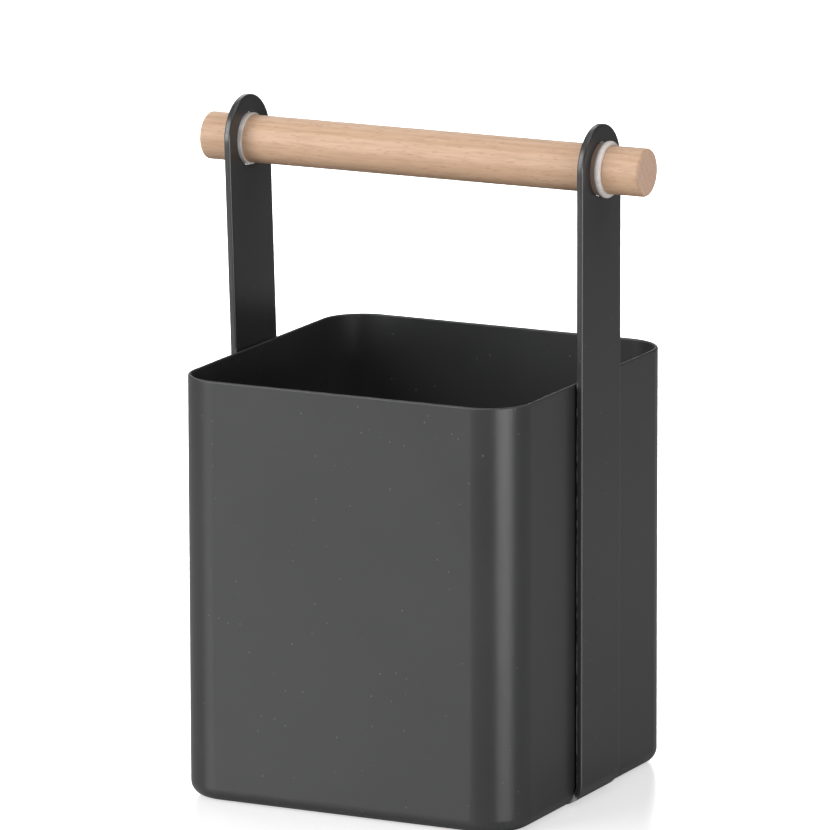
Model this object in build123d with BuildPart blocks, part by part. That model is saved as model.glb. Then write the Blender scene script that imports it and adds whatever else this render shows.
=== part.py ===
"""Open square utensil caddy of coated sheet steel, with a flat carry strap and a turning wooden handle.

Millimetres. X runs along the handle, the front wall faces -Y, Z is up, and the origin is the
middle of the underside. The wall is one wrapped sheet, the base a pressed pan, the strap one
U-bent flat bar, and the beech dowel turns in two silicone bushes.
"""
import os

from build123d import *

# Wall: one sheet wrapped round the four corners
BODY_WIDTH = 109.0        # outside, along X
BODY_DEPTH = 109.0        # outside, along Y
RIM_HEIGHT = 125.0        # top edge of the wall above the table
CORNER_RADIUS = 13.5      # upright corners, outside
SHEET = 1.0               # thickness of wall and pan
RIM_BREAK = 0.3           # broken edges of the rim
SEAM_WIDTH = 0.8          # butt seam of the sheet's two ends, a shallow V on the inside
SEAM_DEPTH = 0.3

# Pan: pressed base that carries the wall
PAN_EDGE_RADIUS = 4.0     # bottom edge, outside
PAN_HEIGHT = 9.0          # the wall stands on the pan's rim, ground flush outside
LIP_HEIGHT = 6.0          # joggled lip that stands up inside the wall
LIP_CLEARANCE = 0.1       # between lip and wall

# Strap: one flat bar, bent up both sides, let into a channel pressed across the pan
STRAP_WIDTH = 26.0
STRAP_THICKNESS = 2.0
STRAP_EDGE_BREAK = 0.35   # broken edges of the flat bar
STRAP_STANDOFF = 0.5      # height of the weld nuggets that hold strap and wall together
NUGGET_DIAMETER = 6.0
NUGGET_END_DISTANCE = 14.0  # of the outer nuggets from the pan's rim and from the wall's rim
NUGGET_COUNT = 3          # on each side
CHANNEL_SIDE_GAP = 0.3    # each side of the strap in its channel
CHANNEL_FLOOR_GAP = 0.1   # between strap and channel floor
LEFT_LEAN = 2.1           # the left upright leans out this far at its top

# Handle: a dowel through the strap's two eyes
EYE_HEIGHT = 186.0        # centre of the eyes above the table
EYE_DIAMETER = 15.6
DOWEL_DIAMETER = 14.0
DOWEL_LENGTH = 141.5
DOWEL_SHIFT = 0.7         # the dowel sits a little to the right
DOWEL_END_ROUND = 0.9

# Bush: a soft sleeve in each eye, with a round bead outside the strap
SLEEVE_CLEARANCE = 0.2    # between sleeve and eye
BUSH_NECK = 1.0           # the sleeve is this much longer than the strap is thick
LEFT_BEAD_GAP = 0.2       # the left bead sits up to the strap, the right one stands off by the neck
BEAD_WIDTH = 1.9
BEAD_DIAMETER = 16.5
BEAD_BEVEL = 0.7

CHANNEL_WIDTH = STRAP_WIDTH + 2 * CHANNEL_SIDE_GAP
CHANNEL_DEPTH = STRAP_THICKNESS + CHANNEL_FLOOR_GAP
STRAP_TOP = EYE_HEIGHT + STRAP_WIDTH / 2
STRAP_INSIDE = BODY_WIDTH / 2 + STRAP_STANDOFF  # X of the uprights' inner faces
LEAN_SLOPE = LEFT_LEAN / (STRAP_TOP - RIM_HEIGHT)
HANDLE_AXIS = Axis((0, 0, EYE_HEIGHT), (1, 0, 0))
STANDING = (Align.CENTER, Align.MIN)


def body_outline(inset, mode=Mode.ADD):
    """Plan of the body: a rounded rectangle, moved inwards by inset."""
    return RectangleRounded(
        BODY_WIDTH - 2 * inset, BODY_DEPTH - 2 * inset, CORNER_RADIUS - inset, mode=mode
    )


def pan_form(inset):
    """Solid of the pan's outside at inset 0, and of its hollow at inset SHEET, channel included."""
    radius = PAN_EDGE_RADIUS - inset
    span = BODY_WIDTH - 2 * inset
    with BuildPart() as form:
        with BuildSketch(Plane.XY.offset(inset)):
            body_outline(inset)
        extrude(amount=PAN_HEIGHT - 2 * inset)
        fillet(form.edges().group_by(Axis.Z)[0], radius)
        with BuildSketch(Plane.XZ):
            with Locations((0, inset)):
                Rectangle(span, CHANNEL_DEPTH + radius, align=STANDING)
            with Locations((0, inset + CHANNEL_DEPTH)):
                RectangleRounded(span, 4 * radius, radius, align=STANDING, mode=Mode.SUBTRACT)
        extrude(amount=CHANNEL_WIDTH / 2 + inset, both=True, mode=Mode.SUBTRACT)
    return form.part


def strap_side_view(inset):
    """Side view of all that the strap goes round, out to its outer face less inset."""
    half = STRAP_INSIDE + STRAP_THICKNESS - inset
    top = STRAP_TOP + inset
    with BuildSketch(Plane.XZ) as view:
        with BuildLine():
            Polyline(
                (half, top),
                (half, inset),
                (-half, inset),
                (-half, RIM_HEIGHT),
                (-half - LEAN_SLOPE * (top - RIM_HEIGHT), top),
                close=True,
            )
        make_face()
        bends = view.vertices().group_by(Axis.Y)[0]
        fillet(bends, PAN_EDGE_RADIUS + STRAP_STANDOFF + STRAP_THICKNESS - inset)
    return view.sketch


def make_bush(sleeve_start, side):
    """Bush of one eye: the sleeve runs outwards from sleeve_start, X, and ends in the bead."""
    bore = DOWEL_DIAMETER / 2
    sleeve_wall = EYE_DIAMETER / 2 - SLEEVE_CLEARANCE - bore
    bead_start = STRAP_THICKNESS + BUSH_NECK
    sleeve_length = bead_start + BEAD_WIDTH / 2
    bead_wall = BEAD_DIAMETER / 2 - bore
    with BuildPart() as bush:
        with BuildSketch(Plane.XZ):
            with Locations((sleeve_start + side * (bead_start + BEAD_WIDTH / 2), EYE_HEIGHT + bore)):
                bead = Rectangle(BEAD_WIDTH, bead_wall, align=STANDING)
                chamfer(bead.vertices().group_by(Axis.Y)[-1], BEAD_BEVEL)
            with Locations((sleeve_start + side * sleeve_length / 2, EYE_HEIGHT + bore)):
                Rectangle(sleeve_length, sleeve_wall, align=STANDING)
        revolve(axis=HANDLE_AXIS)
    return bush.part


# Body wall
with BuildPart() as body_wall:
    with BuildSketch(Plane.XY.offset(PAN_HEIGHT)):
        body_outline(0)
        body_outline(SHEET, mode=Mode.SUBTRACT)
    extrude(amount=RIM_HEIGHT - PAN_HEIGHT)
    chamfer(body_wall.edges().group_by(Axis.Z)[-1], RIM_BREAK)
    # The seam lies in the middle of the left wall, behind the strap
    inner_face = -BODY_WIDTH / 2 + SHEET
    with BuildSketch(Plane.XY.offset(PAN_HEIGHT)):
        with BuildLine():
            Polyline(
                (inner_face, SEAM_WIDTH / 2),
                (inner_face - SEAM_DEPTH, 0),
                (inner_face, -SEAM_WIDTH / 2),
                close=True,
            )
        make_face()
    extrude(amount=RIM_HEIGHT - PAN_HEIGHT, mode=Mode.SUBTRACT)
body_wall.part.label = "body_wall"

# Base pan: floor with the strap's channel, rounded bottom edge, rim and joggled lip
pan_outside = pan_form(0)
pan_hollow = pan_form(SHEET)
with BuildPart() as base_pan:
    add(pan_outside)
    with BuildSketch(Plane.XY.offset(PAN_HEIGHT)):
        body_outline(SHEET + LIP_CLEARANCE)
    extrude(amount=LIP_HEIGHT)
    with BuildSketch(Plane.XY.offset(PAN_HEIGHT - SHEET)):
        body_outline(2 * SHEET + LIP_CLEARANCE)
    extrude(amount=SHEET + LIP_HEIGHT, mode=Mode.SUBTRACT)
    add(pan_hollow, mode=Mode.SUBTRACT)
base_pan.part.label = "base_pan"

# Carry strap: the bar's side view, cut to its front view with round tops and eyes
strap_outside = strap_side_view(0)
strap_inside = strap_side_view(STRAP_THICKNESS)
nugget_pitch = (RIM_HEIGHT - PAN_HEIGHT - 2 * NUGGET_END_DISTANCE) / (NUGGET_COUNT - 1)
with BuildPart() as carry_strap:
    with BuildSketch(Plane.XZ):
        add(strap_outside)
        add(strap_inside, mode=Mode.SUBTRACT)
    extrude(amount=STRAP_WIDTH / 2, both=True)
    with BuildSketch(Plane.YZ):
        Rectangle(STRAP_WIDTH, EYE_HEIGHT, align=STANDING)
        with Locations((0, EYE_HEIGHT)):
            Circle(STRAP_WIDTH / 2)
            Circle(EYE_DIAMETER / 2, mode=Mode.SUBTRACT)
    extrude(amount=BODY_WIDTH, both=True, mode=Mode.INTERSECT)
    bar_edges = carry_strap.edges().filter_by(Axis.Y, reverse=True)
    chamfer(bar_edges.filter_by(lambda edge: edge.length > 1.5 * STRAP_THICKNESS), STRAP_EDGE_BREAK)
    # Weld nuggets between the uprights and the wall
    for side in (-1, 1):
        with BuildSketch(Plane.YZ.offset(side * BODY_WIDTH / 2)):
            with Locations((0, (PAN_HEIGHT + RIM_HEIGHT) / 2)):
                with GridLocations(0, nugget_pitch, 1, NUGGET_COUNT):
                    Circle(NUGGET_DIAMETER / 2)
        extrude(amount=side * STRAP_STANDOFF)
carry_strap.part.label = "carry_strap"

# Handle dowel
with BuildPart() as handle_dowel:
    with BuildSketch(Plane.YZ.offset(DOWEL_SHIFT - DOWEL_LENGTH / 2)):
        with Locations((0, EYE_HEIGHT)):
            Circle(DOWEL_DIAMETER / 2)
    extrude(amount=DOWEL_LENGTH)
    fillet(handle_dowel.edges().filter_by(GeomType.CIRCLE), DOWEL_END_ROUND)
handle_dowel.part.label = "handle_dowel"

# Bushes
left_eye_lean = LEAN_SLOPE * (EYE_HEIGHT - RIM_HEIGHT)
left_sleeve_start = BUSH_NECK - LEFT_BEAD_GAP - STRAP_INSIDE - left_eye_lean
bush_right = make_bush(STRAP_INSIDE, 1)
bush_left = make_bush(left_sleeve_start, -1)
bush_right.label = "bush_right"
bush_left.label = "bush_left"

os.makedirs("parts", exist_ok=True)
for piece in (body_wall.part, base_pan.part, carry_strap.part, handle_dowel.part, bush_right, bush_left):
    export_step(piece, f"parts/{piece.label}.step")
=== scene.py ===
"""Open square utensil caddy: coated sheet steel, a flat carry strap and a turning beech handle."""
import math

import bmesh
import bpy
from mathutils import Matrix, Vector


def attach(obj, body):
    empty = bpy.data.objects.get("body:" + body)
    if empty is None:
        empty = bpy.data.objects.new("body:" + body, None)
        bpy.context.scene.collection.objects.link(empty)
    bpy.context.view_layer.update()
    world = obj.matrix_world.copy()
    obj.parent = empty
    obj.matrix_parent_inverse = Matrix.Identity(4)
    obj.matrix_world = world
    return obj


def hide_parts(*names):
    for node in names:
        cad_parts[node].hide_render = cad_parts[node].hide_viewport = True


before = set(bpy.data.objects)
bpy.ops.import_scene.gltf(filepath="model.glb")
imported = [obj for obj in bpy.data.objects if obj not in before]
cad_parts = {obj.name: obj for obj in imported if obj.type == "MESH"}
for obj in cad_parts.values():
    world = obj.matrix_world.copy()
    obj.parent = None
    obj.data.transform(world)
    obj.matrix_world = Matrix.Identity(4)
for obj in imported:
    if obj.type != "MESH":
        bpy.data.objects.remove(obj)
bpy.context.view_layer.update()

# ---------------------------------------------------------------------------------------------
# Wall
# One strip of 1 mm sheet steel, wrapped round the four upright corners and butted in the middle
# of the left side, where the joint shows inside as a fine groove. The rim is linished round.
# Everything in steel gets the same charcoal powder coat, sprayed on and baked.
MM = 0.001
BODY_HALF = 54.5 * MM          # half the outside width and depth
CORNER_RADIUS = 13.5 * MM
CORNER_STEPS = 28
SHEET = 1.0 * MM
WALL_FOOT = 9.0 * MM           # the wall stands on the pan's rim
RIM_HEIGHT = 125.0 * MM
RIM_ROUND = 0.5 * MM           # the rim is fully round
ROUND_STEPS = 5
SEAM_HALF = 0.4 * MM
SEAM_DEPTH = 0.3 * MM
SMOOTH_ANGLE = math.radians(40)


def body_row(inset, z, seam=0.0):
    """A closed row of points round the body, inset from its outside, starting at the seam."""
    half = BODY_HALF - inset
    radius = CORNER_RADIUS - inset
    corner = BODY_HALF - CORNER_RADIUS
    row = [Vector((-half - seam, 0, z)), Vector((-half, -SEAM_HALF, z))]
    for quarter in range(4):
        start = math.pi * (1 + quarter / 2)
        middle = start + math.pi / 4
        centre_x = math.copysign(corner, math.cos(middle))
        centre_y = math.copysign(corner, math.sin(middle))
        centre = Vector((centre_x, centre_y, z))
        for step in range(CORNER_STEPS + 1):
            angle = start + math.pi / 2 * step / CORNER_STEPS
            row.append(centre + radius * Vector((math.cos(angle), math.sin(angle), 0)))
    row.append(Vector((-half, SEAM_HALF, z)))
    return row


def skin(mesh, rows, joined=True):
    """Joins closed rows of points with quads in turn; joined ties the last row to the first."""
    rings = [[mesh.verts.new(point) for point in row] for row in rows]
    pairs = list(zip(rings, rings[1:]))
    if joined:
        pairs.append((rings[-1], rings[0]))
    for low, high in pairs:
        for i in range(len(low)):
            j = (i + 1) % len(low)
            mesh.faces.new((low[i], low[j], high[j], high[i]))
    return rings


def make_piece(name, mesh, material):
    """Turns the mesh into an object with one material, smooth except over sharp edges."""
    bmesh.ops.recalc_face_normals(mesh, faces=mesh.faces)
    data = bpy.data.meshes.new(name)
    mesh.to_mesh(data)
    mesh.free()
    data.shade_smooth()
    data.set_sharp_from_angle(angle=SMOOTH_ANGLE)
    data.materials.append(material)
    piece = bpy.data.objects.new(name, data)
    bpy.context.scene.collection.objects.link(piece)
    even = piece.modifiers.new("even shading", "WEIGHTED_NORMAL")
    even.keep_sharp = True
    return piece


def put(tree, kind, inputs=None, **settings):
    """Adds a node to a tree; an input is a number, a colour or another node's output."""
    made = tree.nodes.new(kind)
    for name, value in settings.items():
        setattr(made, name, value)
    for name, value in (inputs or {}).items():
        if isinstance(value, bpy.types.NodeSocket):
            tree.links.new(value, made.inputs[name])
        else:
            made.inputs[name].default_value = value
    return made


def new_group(name, inputs, outputs):
    """Starts a shader group: its tree, inputs and outputs. Names with Colour are colours."""
    tree = bpy.data.node_groups.new(name, "ShaderNodeTree")
    for labels, way in ((inputs, "INPUT"), (outputs, "OUTPUT")):
        for label in labels:
            kind = "NodeSocketColor" if "Colour" in label else "NodeSocketFloat"
            tree.interface.new_socket(label, in_out=way, socket_type=kind)
    group_in = tree.nodes.new("NodeGroupInput").outputs
    group_out = tree.nodes.new("NodeGroupOutput").inputs
    return tree, group_in, group_out


def use_group(tree, group, values):
    """Places a shader group in a material, with the material's own values."""
    return put(tree, "ShaderNodeGroup", values, node_tree=group).outputs


def mask(tree, value, low, high, out_low=0.0, out_high=1.0):
    """A value between low and high, spread over out_low to out_high and held there."""
    spread = {"Value": value, "From Min": low, "From Max": high}
    spread.update({"To Min": out_low, "To Max": out_high})
    return put(tree, "ShaderNodeMapRange", spread, clamp=True).outputs[0]


def noise(tree, place, scale, detail):
    numbers = {"Vector": place, "Scale": scale, "Detail": detail}
    return put(tree, "ShaderNodeTexNoise", numbers).outputs[0]


def math_node(tree, operation, first, second):
    return put(tree, "ShaderNodeMath", {0: first, 1: second}, operation=operation).outputs[0]


def blend_colour(tree, factor, first, second):
    """The first colour where factor is 0, and the second where it is 1."""
    made = put(tree, "ShaderNodeMix", {0: factor, 6: first, 7: second}, data_type="RGBA")
    return made.outputs[2]


# Powder coat: fine orange peel, odd nibs of powder, faint clouds and handling marks
PEEL_SCALE, GRIT_SCALE, NIB_SCALE, CLOUD_SCALE = 900.0, 3600.0, 280.0, 24.0
coat_tree, coat_in, coat_out = new_group(
    "powder coat",
    ("Colour", "Nib Colour", "Roughness", "Nibs", "Marks"),
    ("Colour", "Roughness", "Height"),
)
place = put(coat_tree, "ShaderNodeTexCoord").outputs["Object"]
peel = noise(coat_tree, place, PEEL_SCALE, 2.0)
grit = noise(coat_tree, place, GRIT_SCALE, 1.0)
cells = put(coat_tree, "ShaderNodeTexVoronoi", {"Vector": place, "Scale": NIB_SCALE})
picked = put(coat_tree, "ShaderNodeSeparateColor", {"Color": cells.outputs["Color"]})
chosen = mask(coat_tree, picked.outputs[0], 0.35, 0.45)
nib_size = mask(coat_tree, picked.outputs[1], 0.0, 1.0, 0.05, 0.12)
near = math_node(coat_tree, "DIVIDE", cells.outputs["Distance"], nib_size)
nib = math_node(coat_tree, "MULTIPLY", mask(coat_tree, near, 1.0, 0.5), chosen)
nib = math_node(coat_tree, "MULTIPLY", nib, coat_in["Nibs"])
cloud = noise(coat_tree, place, CLOUD_SCALE, 5.0)
mark = math_node(coat_tree, "MULTIPLY", mask(coat_tree, cloud, 0.42, 0.68), coat_in["Marks"])
soiled = math_node(coat_tree, "MULTIPLY", mark, 0.22)
darker = blend_colour(coat_tree, soiled, coat_in["Colour"], (0.0, 0.0, 0.0, 1.0))
showing = math_node(coat_tree, "MULTIPLY", nib, 0.5)
lit = blend_colour(coat_tree, showing, darker, coat_in["Nib Colour"])
coat_tree.links.new(lit, coat_out["Colour"])
smoother = math_node(coat_tree, "MULTIPLY", mark, -0.05)
rough = math_node(coat_tree, "ADD", coat_in["Roughness"], smoother)
coat_tree.links.new(rough, coat_out["Roughness"])
height = math_node(coat_tree, "ADD", peel, math_node(coat_tree, "MULTIPLY", grit, 0.35))
height = math_node(coat_tree, "ADD", height, math_node(coat_tree, "MULTIPLY", nib, 2.0))
coat_tree.links.new(height, coat_out["Height"])

COAT_COLOUR = (0.028, 0.0283, 0.0288, 1.0)
# Light grey of the powder nibs, also used for the painted highlights on the strap's edges
NIB_AND_EDGE_HIGHLIGHT_COLOUR = (0.42, 0.42, 0.42, 1.0)
COAT_ROUGHNESS = 0.33
COAT_NIBS = 0.3
COAT_MARKS = 0.6
COAT_RELIEF = 0.006 * MM
COAT_IOR = 1.58


def new_material(name):
    """A material with its node tree and its Principled surface."""
    material = bpy.data.materials.new(name)
    material.use_nodes = True
    return material, material.node_tree, material.node_tree.nodes["Principled BSDF"]


def connect(tree, surface, made, relief):
    """Feeds a group's colour, roughness and height to the surface; relief is its bumps' height."""
    numbers = {"Strength": 1.0, "Distance": relief, "Height": made["Height"]}
    bump = put(tree, "ShaderNodeBump", numbers)
    tree.links.new(made["Colour"], surface.inputs["Base Color"])
    tree.links.new(made["Roughness"], surface.inputs["Roughness"])
    tree.links.new(bump.outputs["Normal"], surface.inputs["Normal"])


def coated_steel(name):
    """Charcoal powder coat for one steel piece: the material, its tree and its surface."""
    material, tree, surface = new_material(name)
    values = {"Colour": COAT_COLOUR, "Nib Colour": NIB_AND_EDGE_HIGHLIGHT_COLOUR, "Roughness": COAT_ROUGHNESS}
    values.update({"Nibs": COAT_NIBS, "Marks": COAT_MARKS})
    connect(tree, surface, use_group(tree, coat_tree, values), COAT_RELIEF)
    surface.inputs["IOR"].default_value = COAT_IOR
    return material, tree, surface


wall_mesh = bmesh.new()
wall_rows = [body_row(0, WALL_FOOT)]
quarter_turn = [math.pi / 2 * step / ROUND_STEPS for step in range(ROUND_STEPS + 1)]
for turn in quarter_turn:
    inset = RIM_ROUND * (1 - math.cos(turn))
    drop = RIM_ROUND * (1 - math.sin(turn))
    wall_rows.append(body_row(inset, RIM_HEIGHT - drop))
for step, turn in list(enumerate(quarter_turn))[1:]:
    inset = SHEET - RIM_ROUND * (1 - math.sin(turn))
    drop = RIM_ROUND * (1 - math.cos(turn))
    wall_rows.append(body_row(inset, RIM_HEIGHT - drop, SEAM_DEPTH * step / ROUND_STEPS))
wall_rows.append(body_row(SHEET, WALL_FOOT, SEAM_DEPTH))
skin(wall_mesh, wall_rows)

# The powder lies thicker and duller round the rim
wall_coat, tree, surface = coated_steel("coated steel wall")
place = put(tree, "ShaderNodeTexCoord").outputs["Object"]
up_wall = put(tree, "ShaderNodeSeparateXYZ", {0: place}).outputs[2]
rim_start, rim_middle = RIM_HEIGHT - RIM_ROUND, RIM_HEIGHT - 0.5 * RIM_ROUND
dull = mask(tree, up_wall, rim_start, rim_middle, 0.0, 0.3)
plain = surface.inputs["Roughness"].links[0].from_socket
tree.links.new(math_node(tree, "ADD", plain, dull), surface.inputs["Roughness"])
wall = make_piece("wall", wall_mesh, wall_coat)
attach(wall, "caddy")
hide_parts("body_wall")

# ---------------------------------------------------------------------------------------------
# Base pan
# The floor of the caddy, pressed from 1 mm sheet with a rounded bottom edge and a channel across
# its underside for the strap. Its rim is ground flush with the wall, and then both are coated.
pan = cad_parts["base_pan"]
pan.data.materials.clear()
pan.data.materials.append(coated_steel("coated steel pan")[0])

# ---------------------------------------------------------------------------------------------
# Carry strap
# A 26 x 2 mm flat bar, cut to length with round ends, drilled for the two eyes, broken along its
# edges, and bent up both sides. It is held to the wall by three weld nuggets on each side.
STRAP_HALF = 13.0 * MM
STRAP_THICKNESS = 2.0 * MM
EDGE_BREAK = 0.5 * MM
STRAP_INSIDE = 55.0 * MM
BEND_INSIDE = 4.5 * MM
EYE_HEIGHT = 186.0 * MM
EYE_RADIUS = 7.8 * MM
LEFT_LEAN = 2.1 * MM           # the left upright leans out this far at its top
LEAN_HEIGHT = 74.0 * MM        # from the rim to the strap's top
EYE_STEPS = 72
EYE_RINGS = 3
BEND_STEPS = 12
NUGGET_RADIUS = 3.0 * MM
NUGGET_WAIST = 0.93
NUGGET_STEPS = 32
NUGGET_HEIGHTS = (23.0 * MM, 67.0 * MM, 111.0 * MM)

lean_slope = LEFT_LEAN / LEAN_HEIGHT
bend_length = (BEND_INSIDE + STRAP_THICKNESS / 2) * math.pi / 2
flat_half = STRAP_INSIDE - BEND_INSIDE
upright_start = STRAP_THICKNESS + BEND_INSIDE
eye_along = flat_half + bend_length + EYE_HEIGHT - upright_start


def bend_bar(along, across, out):
    """Place of a flat bar's point once it is bent: along from the middle, out from the inside."""
    side = math.copysign(1.0, along)
    run = abs(along)
    reach = BEND_INSIDE + out
    if run <= flat_half:
        x, z = run, STRAP_THICKNESS - out
    elif run <= flat_half + bend_length:
        angle = (run - flat_half) / bend_length * math.pi / 2
        x = flat_half + reach * math.sin(angle)
        z = upright_start - reach * math.cos(angle)
    else:
        x, z = STRAP_INSIDE + out, upright_start + run - flat_half - bend_length
    if side < 0:
        x += lean_slope * max(0.0, z - RIM_HEIGHT)
    return Vector((side * x, across, z))


def eye_outline(angle):
    """Distance from the eye's centre to the bar's outline; angle 0 points to the bar's middle."""
    if abs(angle) >= math.pi / 2:
        return STRAP_HALF
    return STRAP_HALF / max(math.cos(angle), abs(math.sin(angle)))


strap_mesh = bmesh.new()
plan = {}


def bar_point(along, across, out):
    """The bar's vertex at this place, made when it is first asked for; the key is in 0.0001 mm."""
    key = (round(along * 1e7), round(across * 1e7), out > 0)
    if key not in plan:
        plan[key] = strap_mesh.verts.new((along, across, out))
    return plan[key]


def bar_quad(corners):
    """A quad on both faces of the bar."""
    for out in (0.0, STRAP_THICKNESS):
        strap_mesh.faces.new([bar_point(along, across, out) for along, across in corners])


def bar_side(first, second):
    """A quad across the bar's thickness, between two points of its outline."""
    low, high = 0.0, STRAP_THICKNESS
    corners = ((first, low), (second, low), (second, high), (first, high))
    strap_mesh.faces.new([bar_point(along, across, out) for (along, across), out in corners])


eye_angles = [2 * math.pi * step / EYE_STEPS - math.pi for step in range(EYE_STEPS + 1)]
columns = [STRAP_HALF * math.tan(angle) for angle in eye_angles if abs(angle) < math.pi / 4 + 1e-6]
for side in (-1, 1):
    rings = []
    for ring in range(EYE_RINGS + 1):
        row = []
        for angle in eye_angles:
            distance = EYE_RADIUS + (eye_outline(angle) - EYE_RADIUS) * ring / EYE_RINGS
            along = eye_along - distance * math.cos(angle)
            row.append((side * along, distance * math.sin(angle)))
        rings.append(row)
    for low, high in zip(rings, rings[1:]):
        for i in range(EYE_STEPS):
            bar_quad((low[i], low[i + 1], high[i + 1], high[i]))
    for i in range(EYE_STEPS):
        bar_side(rings[0][i], rings[0][i + 1])
        if abs(eye_angles[i] + math.pi / EYE_STEPS) > math.pi / 4:
            bar_side(rings[-1][i], rings[-1][i + 1])

bar_half = eye_along - STRAP_HALF
stops = [0.0, flat_half / 2, flat_half]
stops += [flat_half + bend_length * step / BEND_STEPS for step in range(1, BEND_STEPS + 1)]
lean_along = flat_half + bend_length + RIM_HEIGHT - upright_start
stops += [(stops[-1] + lean_along) / 2, lean_along, (lean_along + bar_half) / 2, bar_half]
stops = [-stop for stop in reversed(stops[1:])] + stops
for start, end in zip(stops, stops[1:]):
    for first, second in zip(columns, columns[1:]):
        bar_quad(((start, first), (end, first), (end, second), (start, second)))
    for across in (columns[0], columns[-1]):
        bar_side((start, across), (end, across))
bmesh.ops.recalc_face_normals(strap_mesh, faces=strap_mesh.faces)
broken = [edge for edge in strap_mesh.edges if edge.calc_face_angle(0.0) > math.radians(60)]
bmesh.ops.bevel(
    strap_mesh,
    geom=broken,
    offset=EDGE_BREAK,
    segments=4,
    profile=0.5,
    affect="EDGES",
    clamp_overlap=True,
)
for vertex in strap_mesh.verts:
    vertex.co = bend_bar(*vertex.co)


def lathe(mesh, profile, height, steps=96, joined=False):
    """Turns a profile of (X, radius) about a line at this height; its open ends are capped."""
    turns = [2 * math.pi * step / steps for step in range(steps)]
    rows = [
        [Vector((x, radius * math.cos(turn), height + radius * math.sin(turn))) for turn in turns]
        for x, radius in profile
    ]
    rings = skin(mesh, rows, joined)
    if not joined:
        for ring, x in ((rings[0], profile[0][0]), (rings[-1], profile[-1][0])):
            middle = mesh.verts.new((x, 0, height))
            for i in range(steps):
                mesh.faces.new((ring[i], ring[(i + 1) % steps], middle))


nugget_middle = (BODY_HALF + STRAP_INSIDE) / 2
nugget = ((BODY_HALF, 1.0), (nugget_middle, NUGGET_WAIST), (STRAP_INSIDE, 1.0))
for side in (-1, 1):
    for height in NUGGET_HEIGHTS:
        profile = [(side * x, NUGGET_RADIUS * share) for x, share in nugget]
        lathe(strap_mesh, profile, height, NUGGET_STEPS)

# Painted highlight: a broken light line on the bar's inner edges, beside the wall, where the edge's
# rounding would catch light
strap_coat, tree, surface = coated_steel("coated steel strap")
place = put(tree, "ShaderNodeTexCoord").outputs["Object"]
parts = put(tree, "ShaderNodeSeparateXYZ", {0: place}).outputs
sideways = math_node(tree, "ABSOLUTE", parts[0], 0.0)
from_middle = math_node(tree, "ABSOLUTE", parts[1], 0.0)
inner = mask(tree, sideways, STRAP_INSIDE + 0.55 * MM, STRAP_INSIDE + 0.15 * MM)
edge = mask(tree, from_middle, STRAP_HALF - 0.5 * MM, STRAP_HALF - 0.3 * MM)
below_rim = mask(tree, parts[2], RIM_HEIGHT + 1.0 * MM, RIM_HEIGHT - 1.0 * MM)
upright = put(tree, "ShaderNodeMapping", {"Vector": place, "Scale": (1.0, 1.0, 0.35)}).outputs[0]
inner_edge_highlight = mask(tree, noise(tree, upright, 700.0, 3.0), 0.47, 0.58)
for share in (inner, edge, below_rim):
    inner_edge_highlight = math_node(tree, "MULTIPLY", inner_edge_highlight, share)
plain = surface.inputs["Base Color"].links[0].from_socket
# The inner edges are lightened towards the nib grey: a painted highlight
with_inner_highlight = blend_colour(tree, inner_edge_highlight, plain, NIB_AND_EDGE_HIGHLIGHT_COLOUR)
# Painted highlight: the bar's outer edges are painted a little paler along their rounding
outer_edge_highlight = mask(tree, from_middle, STRAP_HALF - EDGE_BREAK, STRAP_HALF - 0.6 * EDGE_BREAK)
before_side = mask(tree, from_middle, STRAP_HALF, STRAP_HALF - 0.2 * EDGE_BREAK)
outer = mask(tree, sideways, STRAP_INSIDE + 1.3 * MM, STRAP_INSIDE + 1.7 * MM)
for share in (before_side, outer, 0.13):
    outer_edge_highlight = math_node(tree, "MULTIPLY", outer_edge_highlight, share)
# The outer edges are lightened towards the nib grey: a painted highlight
tree.links.new(blend_colour(tree, outer_edge_highlight, with_inner_highlight, NIB_AND_EDGE_HIGHLIGHT_COLOUR), surface.inputs["Base Color"])

strap = make_piece("carry_bar", strap_mesh, strap_coat)
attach(strap, "caddy")
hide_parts("carry_strap")

# ---------------------------------------------------------------------------------------------
# Handle
# A 14 mm beech dowel, sanded and oiled, its ends eased with a sander. It turns by hand.
DOWEL_RADIUS = 7.0 * MM
DOWEL_LEFT = -70.05 * MM
DOWEL_RIGHT = 71.45 * MM
END_ROUND = 0.9 * MM
END_STEPS = 6
HEART = (0.0, 31.0 * MM, 209.0 * MM)     # the tree's middle, from where the year rings run
WOOD_RELIEF = 0.02 * MM

# Beech: year rings, wavering fibre, and the short dark flecks of its rays
RING_SCALE, DRIFT_SCALE, FIBRE_SCALE, FLECK_SCALE = 150.0, 210.0, 1700.0, 1300.0
beech_tree, beech_in, beech_out = new_group(
    "beech",
    ("Light Colour", "Dark Colour", "Fleck Colour", "Fleck Strength", "Run"),
    ("Colour", "Roughness", "Height"),
)
place = put(beech_tree, "ShaderNodeTexCoord").outputs["Object"]
from_heart = put(beech_tree, "ShaderNodeVectorMath", {0: place, 1: HEART}, operation="SUBTRACT")
parts = put(beech_tree, "ShaderNodeSeparateXYZ", {0: from_heart.outputs[0]}).outputs
along = math_node(beech_tree, "MULTIPLY", parts[0], beech_in["Run"])
drawn = put(beech_tree, "ShaderNodeCombineXYZ", {0: along, 1: parts[1], 2: parts[2]}).outputs[0]
waver = {"Distortion": 2.6, "Detail": 3.0, "Detail Scale": 0.6}
rings = {"Vector": drawn, "Scale": RING_SCALE, **waver}
wave = put(beech_tree, "ShaderNodeTexWave", rings, wave_type="RINGS", rings_direction="X")
years = mask(beech_tree, wave.outputs[1], 0.0, 1.0, 0.0, 0.45)
drift = mask(beech_tree, noise(beech_tree, drawn, DRIFT_SCALE, 3.0), 0.3, 0.7, 0.0, 0.55)
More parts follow.
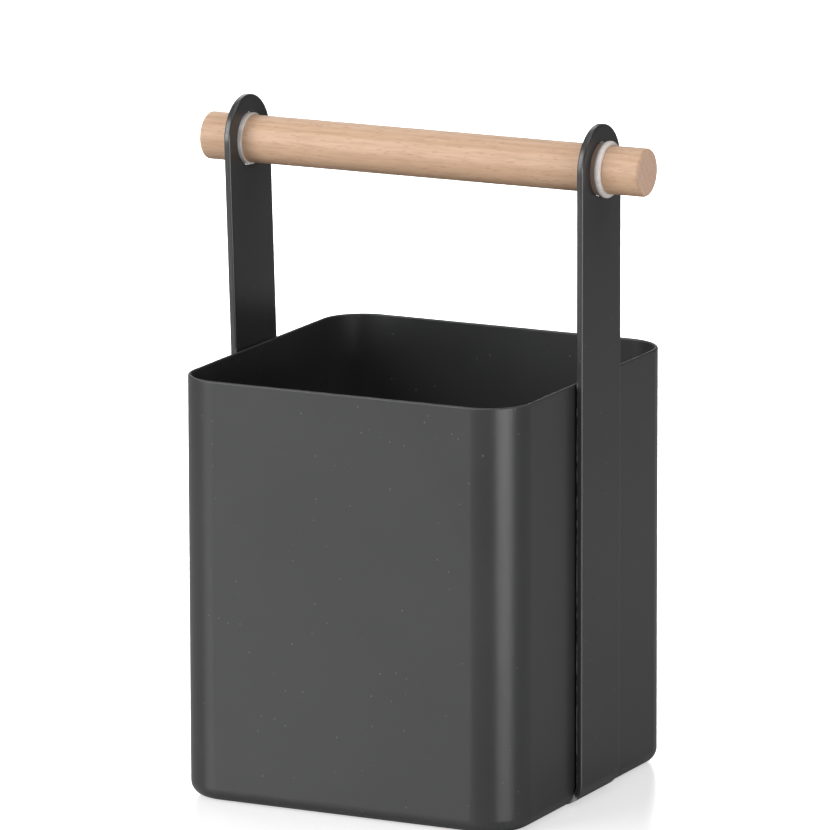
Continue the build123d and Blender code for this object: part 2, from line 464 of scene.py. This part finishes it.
fibre = noise(beech_tree, drawn, FIBRE_SCALE, 3.0)
dark_fibre = mask(beech_tree, fibre, 0.45, 0.75, 0.0, 0.35)
short = math_node(beech_tree, "MULTIPLY", along, 2.2)
placed = put(beech_tree, "ShaderNodeCombineXYZ", {0: short, 1: parts[1], 2: parts[2]}).outputs[0]
flecks = put(beech_tree, "ShaderNodeTexVoronoi", {"Vector": placed, "Scale": FLECK_SCALE})
fleck = mask(beech_tree, flecks.outputs["Distance"], 0.26, 0.12)
fleck = math_node(beech_tree, "MULTIPLY", fleck, beech_in["Fleck Strength"])
shade = math_node(beech_tree, "ADD", years, drift)
tone = blend_colour(beech_tree, shade, beech_in["Light Colour"], beech_in["Dark Colour"])
for share in (dark_fibre, fleck):
    tone = blend_colour(beech_tree, share, tone, beech_in["Fleck Colour"])
beech_tree.links.new(tone, beech_out["Colour"])
beech_tree.links.new(mask(beech_tree, fibre, 0.3, 0.7, 0.5, 0.6), beech_out["Roughness"])
beech_tree.links.new(fibre, beech_out["Height"])


def beech(name, light, dark, fleck, fleck_strength, run):
    """Oiled beech; run is how fast the grain changes along the dowel, 1 at its cut ends."""
    material, tree, surface = new_material(name)
    values = {"Light Colour": (*light, 1), "Dark Colour": (*dark, 1), "Fleck Colour": (*fleck, 1)}
    values.update({"Fleck Strength": fleck_strength, "Run": run})
    connect(tree, surface, use_group(tree, beech_tree, values), WOOD_RELIEF)
    return material


def face_material(piece, material, chosen):
    """Gives the faces that chosen picks a material of their own."""
    piece.data.materials.append(material)
    for face in piece.data.polygons:
        if chosen(face):
            face.material_index = len(piece.data.materials) - 1


long_grain = beech(
    "oiled beech",
    light=(0.58, 0.385, 0.257),
    dark=(0.48, 0.308, 0.197),
    fleck=(0.30, 0.165, 0.09),
    fleck_strength=0.42,
    run=0.08,
)
end_grain = beech(
    "beech end grain",
    light=(0.66, 0.45, 0.335),
    dark=(0.58, 0.39, 0.285),
    fleck=(0.38, 0.23, 0.15),
    fleck_strength=0.3,
    run=1.0,
)
left_end = []
for turn in [math.pi / 2 * step / END_STEPS for step in range(END_STEPS + 1)]:
    x = DOWEL_LEFT + END_ROUND * (1 - math.cos(turn))
    left_end.append((x, DOWEL_RADIUS - END_ROUND * (1 - math.sin(turn))))
right_end = [(DOWEL_LEFT + DOWEL_RIGHT - x, radius) for x, radius in reversed(left_end)]
dowel_mesh = bmesh.new()
lathe(dowel_mesh, left_end + right_end, EYE_HEIGHT)
dowel = make_piece("handle", dowel_mesh, long_grain)
face_material(dowel, end_grain, lambda face: abs(face.normal.x) > 0.8)
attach(dowel, "handle")
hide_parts("handle_dowel")

# ---------------------------------------------------------------------------------------------
# Bushes
# A soft clear silicone sleeve in each eye keeps the dowel off the steel. It is moulded with a
# round bead that stands off the outside of the strap.
BORE_RADIUS = 7.03 * MM
SLEEVE_RADIUS = 7.6 * MM
BEAD_RADIUS = 8.25 * MM
NECK = 1.0 * MM
BEAD_WIDTH = 1.9 * MM
BEAD_STEPS = 12
LEFT_BEAD_GAP = 0.2 * MM

# Silicone: milky, with thin and thick places
MILK_SCALE = 380.0
gel_tree, gel_in, gel_out = new_group(
    "silicone", ("Clear Colour", "Milky Colour"), ("Colour", "Roughness")
)
place = put(gel_tree, "ShaderNodeTexCoord").outputs["Object"]
cloudy = noise(gel_tree, place, MILK_SCALE, 3.0)
milk = mask(gel_tree, cloudy, 0.3, 0.7)
mixed = blend_colour(gel_tree, milk, gel_in["Clear Colour"], gel_in["Milky Colour"])
gel_tree.links.new(mixed, gel_out["Colour"])
gel_tree.links.new(mask(gel_tree, cloudy, 0.3, 0.7, 0.28, 0.4), gel_out["Roughness"])


def silicone(name, clear, milky, see_through):
    """Soft moulded silicone; see_through is the share of light that goes straight in."""
    material, tree, surface = new_material(name)
    gel = use_group(tree, gel_tree, {"Clear Colour": (*clear, 1), "Milky Colour": (*milky, 1)})
    tree.links.new(gel["Colour"], surface.inputs["Base Color"])
    tree.links.new(gel["Roughness"], surface.inputs["Roughness"])
    surface.inputs["IOR"].default_value = 1.41
    surface.inputs["Transmission Weight"].default_value = see_through
    surface.inputs["Subsurface Weight"].default_value = 0.3
    surface.inputs["Subsurface Radius"].default_value = (0.002, 0.0016, 0.0013)
    surface.inputs["Subsurface Scale"].default_value = 1.0
    return material


thick_silicone = silicone("milky silicone", (0.66, 0.60, 0.56), (0.86, 0.82, 0.80), 0.1)
# A darker, browner copy of the silicone: painted shade between strap and bead, and painted-in wood
# seen through it
shaded_thin_silicone = silicone("thin silicone", (0.55, 0.42, 0.33), (0.62, 0.50, 0.42), 0.6)
eye_lean = lean_slope * (EYE_HEIGHT - RIM_HEIGHT)
bead_start = STRAP_THICKNESS + NECK
bead_end = bead_start + BEAD_WIDTH
bead_swell = BEAD_RADIUS - SLEEVE_RADIUS
bush_profile = [(0.0, BORE_RADIUS), (0.0, SLEEVE_RADIUS), (bead_start, SLEEVE_RADIUS)]
for turn in [math.pi * step / BEAD_STEPS for step in range(1, BEAD_STEPS)]:
    x = bead_start + BEAD_WIDTH / 2 * (1 - math.cos(turn))
    bush_profile.append((x, SLEEVE_RADIUS + bead_swell * math.sin(turn)))
bush_profile += [(bead_end, SLEEVE_RADIUS), (bead_end, BORE_RADIUS)]
for name, node, side, start in (
    ("bush_r", "bush_right", 1, STRAP_INSIDE),
    ("bush_l", "bush_left", -1, NECK - LEFT_BEAD_GAP - STRAP_INSIDE - eye_lean),
):
    bush_mesh = bmesh.new()
    profile = [(start + side * x, radius) for x, radius in bush_profile]
    lathe(bush_mesh, profile, EYE_HEIGHT, joined=True)
    bush = make_piece(name, bush_mesh, thick_silicone)
    # The right sleeve shows between the strap and the bead; its darker, browner silicone is painted
    # shade, with the wood's colour painted in as if seen through it
    if side > 0:
        face_material(bush, shaded_thin_silicone, lambda face: face.center.x < start + bead_start)
    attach(bush, "handle")
    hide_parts(node)

# ---------------------------------------------------------------------------------------------
# Studio
# A pale satin floor and a white surround. Large soft lights stand at the front left, above, at
# the right and behind, and low ones at the right and behind draw the upright corners.
FLOOR_SIZE = 6.0
FLOOR_DROP = 0.2 * MM          # keeps the floor clear of the pan's underside
floor_mesh = bmesh.new()
bmesh.ops.create_grid(floor_mesh, x_segments=1, y_segments=1, size=FLOOR_SIZE)
floor_data = bpy.data.meshes.new("floor")
floor_mesh.to_mesh(floor_data)
floor_mesh.free()
floor = bpy.data.objects.new("floor", floor_data)
floor.location.z = -FLOOR_DROP
bpy.context.scene.collection.objects.link(floor)
paper, sheet, surface = new_material("pale paper")
surface.inputs["Base Color"].default_value = (0.50, 0.50, 0.50, 1)
surface.inputs["Roughness"].default_value = 0.3
surface.inputs["Emission Color"].default_value = (1, 1, 1, 1)
# To the camera it fades to white away from the object, and keeps the shadow close to it
seen = put(sheet, "ShaderNodeLightPath").outputs["Is Camera Ray"]
place = put(sheet, "ShaderNodeTexCoord").outputs["Object"]
away = put(sheet, "ShaderNodeVectorMath", {0: place}, operation="LENGTH").outputs["Value"]
paleness = mask(sheet, away, 0.15, 0.9, 0.58, 1.0)
sheet.links.new(math_node(sheet, "MULTIPLY", seen, paleness), surface.inputs["Emission Strength"])
floor_data.materials.append(paper)

world = bpy.data.worlds.new("studio")
bpy.context.scene.world = world
world.use_nodes = True
air = world.node_tree
glow = air.nodes["Background"]
rays = put(air, "ShaderNodeLightPath")
through = rays.outputs["Is Transmission Ray"]
white = math_node(air, "MAXIMUM", rays.outputs["Is Camera Ray"], through)
air.links.new(blend_colour(air, white, (0.03, 0.03, 0.03, 1), (1, 1, 1, 1)), glow.inputs["Color"])
LIGHTS_AIM = Vector((0, 0, 90.0 * MM))


def view_way(azimuth, elevation):
    """The way to a place round the object; azimuth 0 is in front of it, 90 degrees to its right."""
    level = math.cos(elevation)
    return Vector((math.sin(azimuth) * level, -math.cos(azimuth) * level, math.sin(elevation)))


def softbox(name, azimuth, elevation, distance, width, height, power):
    """A soft rectangular light, turned to the object, with its angles in degrees."""
    light = bpy.data.lights.new(name, "AREA")
    light.shape = "RECTANGLE"
    light.size, light.size_y = width, height
    light.energy = power
    lamp = bpy.data.objects.new(name, light)
    way = view_way(math.radians(azimuth), math.radians(elevation))
    lamp.location = LIGHTS_AIM + way * distance
    lamp.rotation_mode = "QUATERNION"
    lamp.rotation_quaternion = way.to_track_quat("Z", "Y")
    bpy.context.scene.collection.objects.link(lamp)


softbox("main light", -38, 25, 1.3, 0.8, 1.0, 16.0)
softbox("front light", 0, 35, 1.3, 0.8, 0.8, 3.8)
softbox("side light", 62, 3, 1.2, 0.78, 0.2, 5.8)
softbox("high side light", 100, 48, 1.3, 0.6, 0.6, 4.6)
softbox("top light", 0, 88, 1.3, 1.0, 1.0, 3.6)
softbox("back light", 178, 20, 1.3, 0.6, 0.8, 0.5)
softbox("low back light", 206, 5, 1.4, 0.4, 0.2, 2.2)
softbox("back left light", -135, 35, 1.3, 0.8, 0.8, 5.0)

# Camera: where the object was seen from, a long lens about 2.5 m away
AZIMUTH, ELEVATION, ROLL = math.radians(26.48), math.radians(12.16), math.radians(-0.15)
DISTANCE = 2.5153
AIM_HEIGHT = 105.0 * MM
AIM_LEFT, AIM_UP = 2.84 * MM, 3.41 * MM
back = view_way(AZIMUTH, ELEVATION)
right = Vector((math.cos(AZIMUTH), math.sin(AZIMUTH), 0))
up = back.cross(right)
right, up = (
    math.cos(ROLL) * right + math.sin(ROLL) * up,
    math.cos(ROLL) * up - math.sin(ROLL) * right,
)
lens = bpy.data.cameras.new("camera")
lens.sensor_width = 36.0
lens.lens = 374.16
lens.clip_start, lens.clip_end = 0.1, 50.0
camera = bpy.data.objects.new("camera", lens)
aim = Vector((0, 0, AIM_HEIGHT)) - AIM_LEFT * right + AIM_UP * up
turned = Matrix((right, up, back)).transposed().to_4x4()
camera.matrix_world = Matrix.Translation(aim + DISTANCE * back) @ turned
bpy.context.scene.collection.objects.link(camera)
bpy.context.scene.camera = camera
bpy.context.scene.view_settings.view_transform = "Standard"
